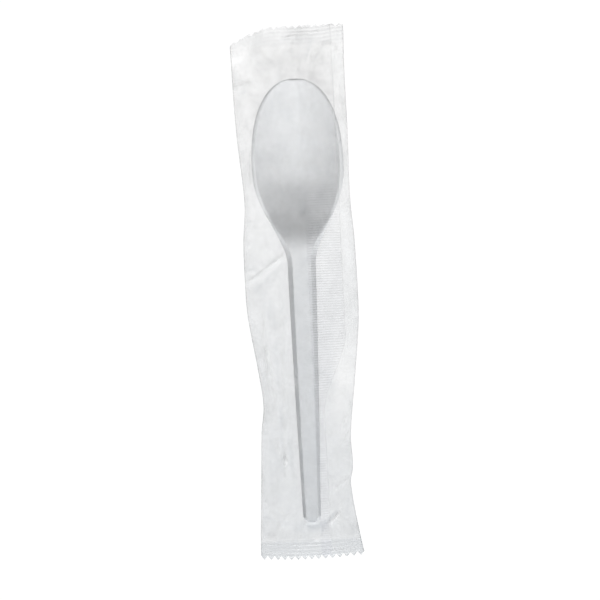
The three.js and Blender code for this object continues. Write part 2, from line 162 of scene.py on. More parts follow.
def spoonHalfWidth(s):
    f = spoonForm
    s = np.asarray(s, float)
    nose = np.clip(1 - s / f["tipToWidest"], 0, 1) ** f["noseBluntness"]
    front = f["bowlWidth"] / 2 * np.clip(1 - nose, 0, 1) ** (1 / f["noseBluntness"])
    shoulder = np.clip((s - f["tipToWidest"]) / f["widestToNeck"], 0, 1) ** f["shoulderLag"]
    middle = mix(f["bowlWidth"], f["neckWidth"], ease(shoulder)) / 2
    intoEnd = np.clip(s - (f["length"] - f["endRadius"]), 0, f["endRadius"])
    rounding = f["endRadius"] - np.sqrt(np.clip(f["endRadius"] ** 2 - intoEnd ** 2, 0, None))
    handle = mix(f["neckWidth"], f["endWidth"], alongHandle(s) ** f["handleTaper"]) / 2 - rounding
    return np.where(s < f["tipToWidest"], front, np.where(s < neckAt, middle, handle))


def channelShare(s):  # 0 in the bowl, 1 along the handle
    start, end = spoonForm["channel"]
    return ease((s - start) / (end - start))


def rimHeight(s):
    f = spoonForm
    atDeepest = spoonPlace["rest"] + f["wall"] + f["bowlDepth"]
    atEnd = spoonPlace["rest"] + f["rimThickness"]
    drop, reach = f["tipRound"]
    front = atDeepest - f["tipDip"] * np.clip(1 - s / f["deepestAt"], 0, 1) ** 2
    front = front - drop * np.clip(1 - s / reach, 0, 1) ** f["tipRoundCurve"]
    along = np.clip((s - f["deepestAt"]) / (f["length"] - f["deepestAt"]), 0, 1)
    return np.where(s < f["deepestAt"], front, mix(atDeepest, atEnd, along ** f["handleArch"]))


def channelRise(s):
    return mix(*spoonForm["channelRise"], alongHandle(s)) * channelShare(s)


def lipWidth(s):
    f = spoonForm
    full = mix(f["rimLip"], mix(*f["bevel"], alongHandle(s)), channelShare(s))
    return np.minimum(full, f["lipShare"] * spoonHalfWidth(s))


def hollowDepth(s):
    f = spoonForm
    front = np.abs(1 - s / f["deepestAt"]) ** f["tipSquareness"]
    start, end = f["floorRise"]
    back = ease((s - start) / (end - start))
    return f["bowlDepth"] * np.where(s < f["deepestAt"], 1 - front, 1 - back)


def spoonSection(s):
    # one closed ring: over the top, then back underneath
    f = spoonForm
    half, lip, share = float(spoonHalfWidth(s)), float(lipWidth(s)), float(channelShare(s))
    rim, rise, depth = float(rimHeight(s)), float(channelRise(s)), float(hollowDepth(s))
    shares = np.cos(np.linspace(0, math.pi, spoonRows["across"]))

    def bulge(x, reach):
        return 1 - np.minimum(1, np.abs(x / reach)) ** f["hollowSquareness"]

    # the top: the bowl's hollow, or the handle's flat face
    inner, face = half - lip, rim + rise
    top = np.stack([-shares * inner, face - depth * bulge(shares, 1)], 1)

    # the side: the bowl's rounded rim, which turns into the handle's bevel
    sideRound = min(f["rimRound"], lip / 2)
    sideTop = rim - min(f["rimRound"], f["rimThickness"] / 2)
    shoulder = (mix(half - sideRound, inner + f["faceCorner"] / 2, share), face - f["faceCorner"] * share)
    onRound = (half - f["roundMiddle"] * sideRound, rim - f["roundMiddle"] * f["rimRound"])
    onBevel = (mix(half, shoulder[0], 0.5), mix(sideTop, shoulder[1], 0.5))
    midway = (mix(onRound[0], onBevel[0], share), mix(onRound[1], onBevel[1], share))
    side = [(half, sideTop), midway, shoulder]

    # the underside: it follows the bowl, and is hollow along the handle up to its end wall
    foot = rim - f["rimThickness"]
    reach = half - mix(sideRound, min(f["footThickness"], half / 3), share)
    ceiling = mix(f["ceilingShare"] * reach, min(reach, inner - f["wall"] / 3), share)
    hollow = share if s < f["length"] - f["endWall"] else 0
    sunk = depth + (1 - share) * (f["wall"] - f["rimThickness"])
    lifted = hollow * (rise + f["rimThickness"] - f["wall"])
    under = np.stack([shares * ceiling, foot - sunk * bulge(shares * ceiling, reach) + lifted], 1)
    footSide = [(half, foot), (reach, foot)]

    leftSide = [(-x, z) for x, z in side]
    leftFoot = [(-x, z) for x, z in reversed(footSide)]
    return np.array([*leftSide, *top, *reversed(side), *footSide, *under, *leftFoot])


def spoonStations():
    f, r = spoonForm, spoonRows
    wallAt = f["length"] - f["endWall"]
    nose = f["tipToWidest"] * (1 - np.cos(np.linspace(r["noseStart"], math.pi / 2, r["nose"])))
    body = np.linspace(f["tipToWidest"], f["channel"][1], r["body"])[1:]
    handle = np.linspace(f["channel"][1], f["length"] - f["endRadius"] - r["beforeEnd"], r["handle"])[1:]
    end = f["length"] - f["endRadius"] * (1 - np.sin(np.linspace(0, math.pi / 2, r["end"])))
    every = np.concatenate([[r["first"]], nose, body, handle, end, [wallAt - r["wallStep"], wallAt]])
    return np.unique(np.round(every, 4))


def makeSpoon():
    rings = []
    for s in spoonStations():
        ring = spoonSection(s)
        rings.append(np.column_stack([ring[:, 0], np.full(len(ring), -s), ring[:, 1]]))
    size = len(rings[0])
    points = np.concatenate(rings)
    cos, sin = math.cos(spoonPlace["turn"]), math.sin(spoonPlace["turn"])
    x, y = points[:, 0].copy(), points[:, 1].copy()
    points[:, 0] = spoonPlace["tipX"] + x * cos - y * sin
    points[:, 1] = spoonPlace["tipY"] + x * sin + y * cos
    faces = gridFaces(len(rings), size, closed=True)
    for start, turnRound in ((0, False), ((len(rings) - 1) * size, True)):
        for i in range(size // 2 - 1):  # an end wall, in strips from the top row to the one under it
            quad = [start + i, start + i + 1, start + size - 2 - i, start + size - 1 - i]
            faces.append(quad[::-1] if turnRound else quad)
    made = meshObject("spoon_moulding", points, faces)
    made.data.set_sharp_from_angle(angle=spoonRows["sharpAbove"])
    return made


# the pouch's outline and its pressed, cut ends; millimetres, with +y towards the bowl's tip

pouchForm = {
    "length": 199.8,
    "width": 43.7,
    "middleX": -0.05,
    "gauge": 0.05,  # real film is about 0.035
    "spoonClearance": 0.3,
    "clearanceAlong": 0.4,
    "edgeHeight": 0.55,
    "edgeWidth": 2.0,
    "sealedHeight": 0.1,
    "filmGap": 0.12,  # the front film's least height above the back's, where there is no spoon
    "backHeight": 0.03,
    "backEdgeHeight": 0.3,
    "sealLength": 6.4,
    "sealFade": 1.5,
    "sealLift": 1.7,
    "liftOver": (9.0, 6.5),  # how far the back film climbs to the top end and the bottom end
    "endBow": 1.1,
    "bowLength": 9.0,
}
endCut = {
    "toothDepth": 1.7,
    "columnsPerTooth": 4,  # the teeth follow the mesh's columns
    "cutShare": 0.97,
    "wornShare": 0.42,  # of that depth, at the top end
    "wornSpread": 0.3,
    "wornPattern": (2.3, 0.4),  # how that varies from tooth to tooth
    "cornerStart": 0.26,  # as a share of the half width, where the turned-back corner starts
    "cornerCurve": 1.4,
    "cornerDrop": 6.3,
    "cornerLift": 1.5,
    "cornerFade": 17.0,
}
crimpForm = {
    "pitch": 1.45,
    "depth": 0.055,
    "tilt": 0.9,  # the ribs climb by this much at the right
    "tiltFrom": 11.0,
    "tiltOver": 9.0,
}
pouchRows = {
    "step": 0.57,
    "sealStep": 0.2,  # close enough for the crimp ribs and the teeth
    "sealMargin": 1.6,
    "columns": (37, 25),  # left and right of the fin's root
}
# how far each edge is drawn in, from the bottom end (0) to the top end (1)
leftDrawIn = [
    (0, 2.5), (0.06, 3.0), (0.14, 3.9), (0.24, 5.0), (0.29, 6.2), (0.36, 4.8),
    (0.46, 2.0), (0.52, 1.6), (0.6, 1.8), (0.67, 2.9), (0.8, 1.2), (0.9, 0.6), (1, 0.5),
]
rightDrawIn = [
    (0, 2.4), (0.06, 4.3), (0.14, 6.2), (0.17, 5.1), (0.23, 5.3), (0.34, 2.6),
    (0.44, 0.3), (0.51, 0), (0.6, 0.3), (0.67, 1.1), (0.8, 0.8), (0.9, 0.9), (1, 0.6),
]
halfLength = pouchForm["length"] / 2


def curveThrough(pairs, places):
    # the same smooth curve as the solid pouch's edges
    p, v = np.array(pairs).T
    i = np.clip(np.searchsorted(p, places), 1, len(p) - 1)
    order = np.arange(len(p))
    before, after = np.clip(order - 1, 0, None), np.clip(order + 1, None, len(p) - 1)
    slope = (v[after] - v[before]) / (p[after] - p[before])
    span = p[i] - p[i - 1]
    t = (places - p[i - 1]) / span
    bend = (1 - t) * slope[i - 1] - t * slope[i] + (2 * t - 1) * (v[i] - v[i - 1]) / span
    return mix(v[i - 1], v[i], t) + t * (1 - t) * span * bend


def filmEdges(y):
    p = pouchForm
    place = (y + halfLength) / p["length"]
    left = p["middleX"] - p["width"] / 2 + curveThrough(leftDrawIn, place)
    right = p["middleX"] + p["width"] / 2 - curveThrough(rightDrawIn, place)
    return left, right


def sealedShare(y):  # 1 in the pressed ends, 0 in the open pouch
    return ease(1 - (halfLength - pouchForm["sealLength"] - np.abs(y)) / pouchForm["sealFade"])


def climbAt(y):  # how far the back film has risen towards the crimped ends
    top, bottom = pouchForm["liftOver"]
    fromSeal = halfLength - pouchForm["sealLength"] - np.abs(y)
    return pouchForm["sealLift"] * ease(1 - np.where(y > 0, fromSeal / top, fromSeal / bottom))


def crimp(x, y):
    # cross ribs of the end seals, which tilt up towards the right
    c = crimpForm
    tilt = c["tilt"] * ease((x - c["tiltFrom"]) / c["tiltOver"])
    ribs = np.cos(2 * math.pi * (np.abs(y) - np.sign(y) * tilt) / c["pitch"])
    return c["depth"] * ribs * sealedShare(y)


def cutAndBend(x, y, z, column):
    # ends cut by a zigzag knife: the last rows are squeezed into the teeth
    p, c = pouchForm, endCut
    inTeeth = np.clip(1 - (halfLength - np.abs(y)) / c["toothDepth"], 0, 1)
    toothNumber = column / c["columnsPerTooth"]
    notch = np.abs((toothNumber % 1) * 2 - 1)
    # at the top end the notches are shallower and uneven, as a worn knife leaves them
    turn, first = c["wornPattern"]
    worn = c["wornShare"] + c["wornSpread"] * np.sin(turn * np.floor(toothNumber) + first)
    y = y - np.sign(y) * inTeeth * c["toothDepth"] * notch * c["cutShare"] * np.where(y > 0, worn, 1)
    # the bottom end bows out at its middle, and the top left corner is turned back
    across = (x - p["middleX"]) / (p["width"] / 2)
    nearEnd = ease((np.abs(y) - halfLength + p["sealLength"] + p["bowLength"]) / p["bowLength"])
    y = y + np.where(y < 0, p["endBow"] * across ** 2 * nearEnd, 0)
    turned = np.clip((-across - c["cornerStart"]) / (1 - c["cornerStart"]), 0, 1) ** c["cornerCurve"]
    turned = turned * ease((y - halfLength + c["cornerFade"]) / c["cornerFade"])
    return np.stack([x, y - c["cornerDrop"] * turned, z + c["cornerLift"] * turned], -1)


# the film's creases

creases = [
    # from x, y to x, y, then height and half width; those that stand out in the photograph
    (-21.0, 78.0, -14.0, 79.5, 0.55, 0.7),
    (-20.0, 75.5, -15.5, 76.0, -0.40, 0.6),
    (-15.3, 54.0, -16.6, 41.0, 0.50, 0.9),
    (-5.2, 14.0, -19.6, 4.6, 0.75, 0.9),
    (-5.0, 12.0, -17.0, 1.0, -0.35, 1.0),
    (-13.8, -6.0, -13.4, -46.0, 0.45, 0.7),
    (-10.0, -4.0, -9.6, -66.0, -0.35, 0.8),
    (-7.5, -22.0, -8.8, -70.0, 0.40, 0.6),
    (-11.6, -54.0, -8.2, -66.0, 0.35, 0.5),
    (-12.8, -57.0, -9.2, -68.0, -0.30, 0.5),
    (16.0, -52.0, 12.5, -58.0, 0.50, 0.7),
    (10.8, -81.2, 5.6, -85.8, -1.30, 0.35),
    (12.5, -78.0, 7.0, -88.0, 0.45, 0.6),
    (-14.5, -78.0, -9.0, -83.0, 0.45, 0.6),
    (-17.0, -76.0, -12.0, -86.0, 0.40, 0.6),
    (-18.0, -83.0, -8.0, -86.5, -0.35, 0.6),
    (-6.0, -80.0, -13.0, -88.0, 0.35, 0.5),
    (-12.0, 92.0, -4.0, 84.0, 0.30, 0.7),
    (14.5, 93.0, 8.5, 85.0, 0.35, 0.7),
    (18.5, 78.0, 20.5, 60.0, 0.30, 0.7),
    (-2.2, 95.2, 5.0, 96.9, 0.60, 0.35),
    (4.0, 96.7, 12.6, 97.3, 0.60, 0.35),
    (-2.0, 94.3, 5.0, 95.9, -0.40, 0.35),
    (4.0, 95.8, 12.4, 96.3, -0.40, 0.35),
    (-8.5, -60.0, -8.0, -63.8, 1.00, 0.6),
    (-12.6, -56.5, -10.4, -58.6, 0.50, 0.4),
    (-12.4, -58.4, -10.6, -60.6, 0.50, 0.4),
    (-12.8, -60.8, -11.0, -63.2, 0.45, 0.4),
    (-15.2, -60.2, -13.4, -61.4, 0.45, 0.4),
    (-10.4, -60.0, -9.4, -63.4, -0.45, 0.4),
    (5.6, -85.4, 3.3, -90.5, -0.80, 0.4),
    (11.2, -82.4, 6.4, -86.6, 0.40, 0.5),
    (-2.6, -87.2, 3.6, -86.4, -0.45, 0.5),
    (4.6, -84.0, 6.8, -88.4, -0.50, 0.35),
    (-4.2, -85.4, 0.4, -88.6, 0.40, 0.5),
    (14.8, -70.0, 8.5, -74.5, 0.45, 0.5),
    (15.5, -46.0, 12.8, -52.0, 0.60, 0.6),
]
# small folds drawn at random: their middles, their lean from lengthwise, greatest length and height
crinkles = {"count": 230, "x": (-21, 21), "y": (-92, 92), "lean": 0.55, "longest": 17, "height": 0.11}
fineFolds = {"count": 60, "x": (-14.5, -5), "y": (-68, -4), "lean": 0.06, "longest": 26, "height": 0.16}
puckers = {"count": 70, "x": (-19, 20), "y": 88.5, "spread": 2, "lean": 0.5, "longest": 10, "height": 0.2}
foldWidths = (0.35, 1.1)
foldFade = 3  # millimetres over which a crease fades out at each end
creaseShare = {
    "atEdges": 0.25,  # of a crease's height, at the pouch's edges
    "lostInSeals": 0.9,
    "lostOnSpoon": 0.6,  # where the film lies tight on the spoon
    "tightWithin": 0.5,
    "intoClearance": 0.03,
}


def creaseAt(x, y, x0, y0, x1, y1, height, width):
    # a sharp ridge on a straight line
    length = math.hypot(x1 - x0, y1 - y0)
    dx, dy = (x1 - x0) / length, (y1 - y0) / length
    along = (x - x0) * dx + (y - y0) * dy
    off = np.abs(-(x - x0) * dy + (y - y0) * dx)
    fade = ease((along + 1) / foldFade) * ease((length + 1 - along) / foldFade)
    return height * np.exp(-off / width) * fade


def randomCrease(x, y, middleX, middleY, kind):
    angle = rng.normal(math.pi / 2, kind["lean"])
    length = rng.uniform(0.25, 1) * kind["longest"]
    dx, dy = math.cos(angle) * length / 2, math.sin(angle) * length / 2
    height, width = rng.normal(0, kind["height"]), rng.uniform(*foldWidths)
    return creaseAt(x, y, middleX - dx, middleY - dy, middleX + dx, middleY + dy, height, width)


def creaseField(x, y):
    field = np.zeros_like(x)
    for crease in creases:
        field += creaseAt(x, y, *crease)
    for kind in (crinkles, fineFolds):  # all over, then down the left of the handle
        for _ in range(kind["count"]):
            field += randomCrease(x, y, rng.uniform(*kind["x"]), rng.uniform(*kind["y"]), kind)
    for _ in range(puckers["count"]):  # these run out of the pressed ends
        middleX = rng.uniform(*puckers["x"])
        middleY = rng.choice((-puckers["y"], puckers["y"])) + rng.normal(0, puckers["spread"])
        field += randomCrease(x, y, middleX, middleY, puckers)
    return field


# the film's darker and lighter places, which its material reads: darker towards the handle's end and in the
# pressed ends, painted shade in the creases' valleys, along the fine pleats and below the handle's end, and
# a lighter patch right of the handle

filmMarks = {
    "lowerEnd": 0.46,  # duller towards the handle's end
    "lowerOver": 185.0,
    "topSeal": 0.06,
    "bottomSeal": 0.30,
    # painted shade in the creases' valleys
    "valleys": 0.9,
    # a lighter patch right of the handle
    "lighterRight": {"share": 0.22, "fromX": 9, "overX": 5, "y": -33, "spreadY": 16},
    # painted shade on the film just below the handle's end
    "handleTip": {"share": 0.75, "x": 0.6, "spreadX": 4, "y": -87, "spreadY": 1.8},
    "bottomBars": 8.0,  # how white the crimp ribs turn: even at the bottom end,
    "topBars": (0.6, 2.6, 5, 7),  # and hardest pressed in the middle of the top end
    # painted shade along the fine pleats: a little everywhere, most left of the handle
    "pleatsEverywhere": 0.1,
    # left of the handle: from, to, and the fade at either side
    "pleatsX": (-17, -4, 4, 2),
    "pleatsY": (-70, 2, 8, 12),
}


def dullingAndShadeMarks(x, y, folds):
    # darker towards the handle's end and in the pressed ends; painted shade in the creases' valleys and
    # below the handle's end; a lighter patch right of the handle
    m, clear, tip = filmMarks, filmMarks["lighterRight"], filmMarks["handleTip"]
    marks = m["lowerEnd"] * ease((halfLength - y) / m["lowerOver"])
    marks = marks + np.where(y < 0, m["bottomSeal"], m["topSeal"]) * sealedShare(y)
    marks = marks + m["valleys"] * np.clip(-folds, 0, None)
    smooth = ease((x - clear["fromX"]) / clear["overX"]) * around(y, clear["y"], clear["spreadY"])
    tipShade = around(x, tip["x"], tip["spreadX"]) * around(y, tip["y"], tip["spreadY"])
    return marks - clear["share"] * smooth + tip["share"] * tipShade


def paintedPleatShade(x, y):
    # where the painted shade lines along the pleats are drawn
    def between(value, low, high, lowFade, highFade):
        return ease((value - low) / lowFade) * ease((high - value) / highFade)

    leftOfHandle = between(x, *filmMarks["pleatsX"]) * between(y, *filmMarks["pleatsY"])
    return filmMarks["pleatsEverywhere"] + leftOfHandle


thinRoot = {"share": 0.05, "columns": 3}  # of the fused strip's gauge, and over how many columns it grows


def filmObject(name, points, folds, layers=1, closed=False):
    rowCount, columnCount = points.shape[:2]
    x, y = points[..., 0], points[..., 1]
    made = meshObject(name, points.reshape(-1, 3), gridFaces(rowCount, columnCount, closed))
    marks = {"fold": np.clip(folds, 0, None), "dullingAndShade": dullingAndShadeMarks(x, y, folds), "pleat": paintedPleatShade(x, y)}
    for mark, values in marks.items():
        attribute = made.data.attributes.new(mark, "FLOAT", "POINT")
        attribute.data.foreach_set("value", values.astype(np.float32).ravel())
    thickness = made.modifiers.new("film gauge", "SOLIDIFY")
    thickness.thickness = pouchForm["gauge"] * layers * mm
    thickness.offset = 0
    if not closed:  # the fused strip thins out where it grows from the pouch
        full = made.vertex_groups.new(name="full gauge")
        for column in range(columnCount):
            inColumn = range(column, rowCount * columnCount, columnCount)
            full.add(list(inColumn), min(1, thinRoot["share"] + column / thinRoot["columns"]), "REPLACE")
        thickness.vertex_group = "full gauge"
    flat = made.modifiers.new("flat up to its cut edges", "WEIGHTED_NORMAL")
    flat.mode = "FACE_AREA"
    print(name, points.shape)
    return made


# the pouch: a plain back and a front that is pulled taut over the spoon

drape = {
    "rounds": 900,
    "overshoot": 1.7,  # past the mean at each step, which settles sooner
    "pullAlong": 0.6,  # of the pull across
}


def spoonX(y):  # the spoon's own middle
    return spoonPlace["tipX"] + math.tan(spoonPlace["turn"]) * (spoonPlace["tipY"] - y)


def spoonTop(x, y):
    # the highest the spoon reaches, its hollow bridged over
    s = (spoonPlace["tipY"] - y) / math.cos(spoonPlace["turn"])
    inside = spoonHalfWidth(s) - np.abs(x - spoonX(y))
    over = rimHeight(s) + channelRise(s) * np.minimum(1, inside / np.maximum(lipWidth(s), 0.1))
    return np.where((s > 0) & (s < spoonForm["length"]) & (inside > 0), over, -1.0)


def drapeFilm(x, y, least, edge):
    # each free point settles at the mean of its neighbours, with the spoon as its floor
    height = np.maximum(least, edge)
    across = 1 / np.gradient(x, axis=1) ** 2
    along = drape["pullAlong"] / np.gradient(y, axis=0) ** 2
    across, along = across[1:-1, 1:-1], along[1:-1, 1:-1]
    total = 2 * (across + along)
    parity = (np.add.outer(np.arange(x.shape[0]), np.arange(x.shape[1])) % 2).astype(bool)
    for _ in range(drape["rounds"]):
        for turn in (parity, ~parity):
            mean = height.copy()
            sides = height[1:-1, :-2] + height[1:-1, 2:]
            ends = height[:-2, 1:-1] + height[2:, 1:-1]
            mean[1:-1, 1:-1] = (sides * across + ends * along) / total
            moved = np.maximum(height + drape["overshoot"] * (mean - height), least)
            height = np.where(turn, moved, height)
            height[:, 0], height[:, -1] = edge[:, 0], edge[:, -1]
            height[0], height[-1] = edge[0], edge[-1]
    return height


def rowPlaces():
    r = pouchRows
    sealed = pouchForm["sealLength"] + r["sealMargin"]
    openLength = halfLength - pouchForm["sealLength"] - r["sealMargin"]
    sealRows = int(sealed / r["sealStep"])
    return np.concatenate([
        np.linspace(halfLength, openLength, sealRows, endpoint=False),
        np.linspace(openLength, -openLength, int(2 * openLength / r["step"]), endpoint=False),
        np.linspace(-openLength, -halfLength, sealRows),
    ])


def frontHeight(x, y, left, right):
    # the front film's height and its creases
    p, c = pouchForm, creaseShare
    sealed, climb = sealedShare(y), climbAt(y)
    out = x - spoonX(y)
    inward = np.sign(out) * np.maximum(0, np.abs(out) - p["spoonClearance"])
    along = p["clearanceAlong"]
    near = [spoonTop(spoonX(y) + inward, y + shift) for shift in (-along, 0, along)]
    least = np.maximum(np.max(near, axis=0) + p["spoonClearance"], climb + p["filmGap"])
    draped = drapeFilm(x, y, least, climb + mix(p["edgeHeight"], p["sealedHeight"], sealed))
    wrinkles = creaseField(x, y)
    free = ease((x - left) / p["edgeWidth"]) * ease((right - x) / p["edgeWidth"]) * (1 - sealed)
    tight = np.clip(1 - (draped - least) / c["tightWithin"], 0, 1)
    raised = wrinkles * mix(c["atEdges"], 1, free)
    raised = raised * (1 - c["lostInSeals"] * sealed) * (1 - c["lostOnSpoon"] * tight)
    return np.maximum(draped + raised, least - c["intoClearance"]) + crimp(x, y), wrinkles


def backHeight(x, y, left, right):
    p = pouchForm
    inside = np.minimum(x - left, right - x)
    turnedUp = p["backEdgeHeight"] * ease(1 - inside / p["edgeWidth"]) * (1 - sealedShare(y))
    return climbAt(y) + turnedUp + crimp(x, y) + p["backHeight"]


def makePouch():
    y = rowPlaces()
    left, right = (edge[:, None] for edge in filmEdges(y))
    root = finForm["rootX"] + 0 * left
    leftCount, rightCount = pouchRows["columns"]
    frontX = np.concatenate([
        mix(left, root, np.linspace(0, 1, leftCount)),
        mix(root, right, np.linspace(0, 1, rightCount)[1:]),
    ], 1)
    frontY = y[:, None] + 0 * frontX
    front, wrinkles = frontHeight(frontX, frontY, left, right)
    backX, backY = frontX[:, 1:-1], frontY[:, 1:-1]
    back = backHeight(backX, backY, left, right)

    def onceRound(onFront, onBack):  # from the fin's root to the left, under the spoon, and back
        leftPart, rightPart = onFront[:, :leftCount], onFront[:, leftCount:]
        return np.concatenate([leftPart[:, ::-1], onBack, rightPart[:, ::-1]], 1)

    columns = np.arange(frontX.shape[1]) + 0 * frontX
    column = onceRound(columns, columns[:, 1:-1])
    points = cutAndBend(onceRound(frontX, backX), onceRound(frontY, backY), onceRound(front, back), column)
    least, more, middle, spread = filmMarks["topBars"]
    bars = np.where(frontY < 0, filmMarks["bottomBars"], least + more * around(frontX, middle, spread))
    folds = wrinkles + bars * np.clip(crimp(frontX, frontY), 0, None)
    return filmObject("film_pouch", points, onceRound(folds, 0 * backX), closed=True), (y, frontX, front)


# the fin: both edges of the sheet, fused to one ribbed strip and laid to the right

finForm = {
    "rootX": 3.4,
    "width": 13.0,
    "tuckedWidth": 3.8,
    "tuck": (115.0, 145.0),  # from the top end, where it is tucked nearer to the handle
    "ribPitch": 0.94,
    "ribDepth": 0.06,
    "rowsPerRib": 7,
    "columns": 20,
    "gap": (0.06, 0.14),  # above the front film, at its root and beyond
    "lift": 0.30,
    "sealedLift": 0.09,
    "waver": 0.033,
    "waverWaves": (7.3, 2.9),
    "rootShare": 0.1,  # of its width, over which ribs and gap set in
    "liftShare": 0.25,
    "faint": (0.85, 8, 26),  # the share of the ribs' depth lost beside the bowl, from where, over how far
}
finMarks = {
    "edge": 0.35,  # the cut edge catches the light
    "edgeWidth": 0.4,
    "ribs": 0.34,
    "ribSharpness": 1.5,
    "lostInSeals": 0.5,
    "lost": ((0.6, 16, 14), (0.33, 40, 14)),  # where the bowl begins, and again beside it
    "uneven": 0.2,
    "unevenWaves": (5.1, 11.3),
}


def heightUnder(rows, x, y, frontX, front):
    # the front film's height at points on other rows and columns than its own
    under = np.empty_like(x)
    for r, row in enumerate(rows):
        b = min(int(np.searchsorted(-y, -row)), len(y) - 1)
        a = max(b - 1, 0)
        t = 0 if b == 0 else (y[a] - row) / (y[a] - y[b])
        under[r] = np.interp(x[r], mix(frontX[a], frontX[b], t), mix(front[a], front[b], t))
    return under


def makeFin(y, frontX, front):
    f, m = finForm, finMarks
    rowCount = int(pouchForm["length"] / f["ribPitch"] * f["rowsPerRib"])
    places = np.linspace(halfLength, -halfLength, rowCount)
    rows = places[:, None]
    sealed = sealedShare(rows)
    start, end = f["tuck"]
    tuck = ease((halfLength - rows - start) / (end - start))
    reach = mix(f["width"], f["tuckedWidth"], tuck)
    share = np.linspace(0, 1, f["columns"])
    x = f["rootX"] + reach * share
    bars = np.cos(2 * math.pi * rows / f["ribPitch"])
    setIn = ease(share / f["rootShare"])

    def fading(lost, start, over):  # towards the top end
        return lost * ease((rows - start) / over)

    ribs = f["ribDepth"] * (1 - fading(*f["faint"])) * bars * (1 - sealed)
    long, short = f["waverWaves"]
    waver = f["waver"] * np.sin(rows / long) * np.sin(rows / short + 1)
    lift = mix(f["lift"] + waver * share, f["sealedLift"], sealed)
    height = heightUnder(places, x, y, frontX, front) + mix(*f["gap"], setIn)
    height = height + lift * ease(share / f["liftShare"]) + ribs * setIn
    points = cutAndBend(x, rows + 0 * x, height, np.arange(f["columns"]) + 0 * x)

    # how white the ribs and the cut edge look
    short, long = m["unevenWaves"]
    patchy = 1 - m["uneven"] + m["uneven"] * np.sin(rows / short + share * 3) * np.sin(rows / long)
    white = m["ribs"] * np.clip(m["ribSharpness"] * bars, 0, 1) * patchy * setIn
    white = white * (1 - sum(fading(*place) for place in m["lost"])) * (1 - m["lostInSeals"] * sealed)
    edge = m["edge"] * np.exp(-(1 - share) * reach / m["edgeWidth"])
    return filmObject("film_fin", points, edge + white, layers=2)


# materials

filmLook = {
    "milk": "#f6f7f7",
    "milkRoughness": 0.35,
    "clean": "#fdfdfd",  # what one skin lets through
    # the duller colour it passes where it is dulled and where shade is painted
    "dulledAndShaded": "#f0f1f2",
    "haze": 0.06,  # of each skin, where the film lies smooth
    "crinkleHaze": 0.05,
    "foldHaze": 0.34,
    "pleatShade": 0.75,
    "pleatSize": 1.1,  # millimetres from one lengthwise line to the next
    "pleatLength": 20.0,
    "crinkleSize": 2.2,  # millimetres between the small crinkles
    "crinkleDepth": 0.2,
    "cloudSize": 7.0,
    "gloss": 0.34,  # roughness of the surface's mirror
    "mirror": 0.010,
    "grazing": 0.22,  # how much more it mirrors at a low angle
    "ridged": (0.6, 1.6),  # the range of a ridged noise that shows
}
fusedLook = filmLook | {
    "clean": "#fefefe",
    "dulledAndShaded": "#fbfbfc",
    "haze": 0.008,
    "crinkleHaze": 0.01,
    "foldHaze": 0.30,
    "mirror": 0.004,
    "grazing": 0.08,
}


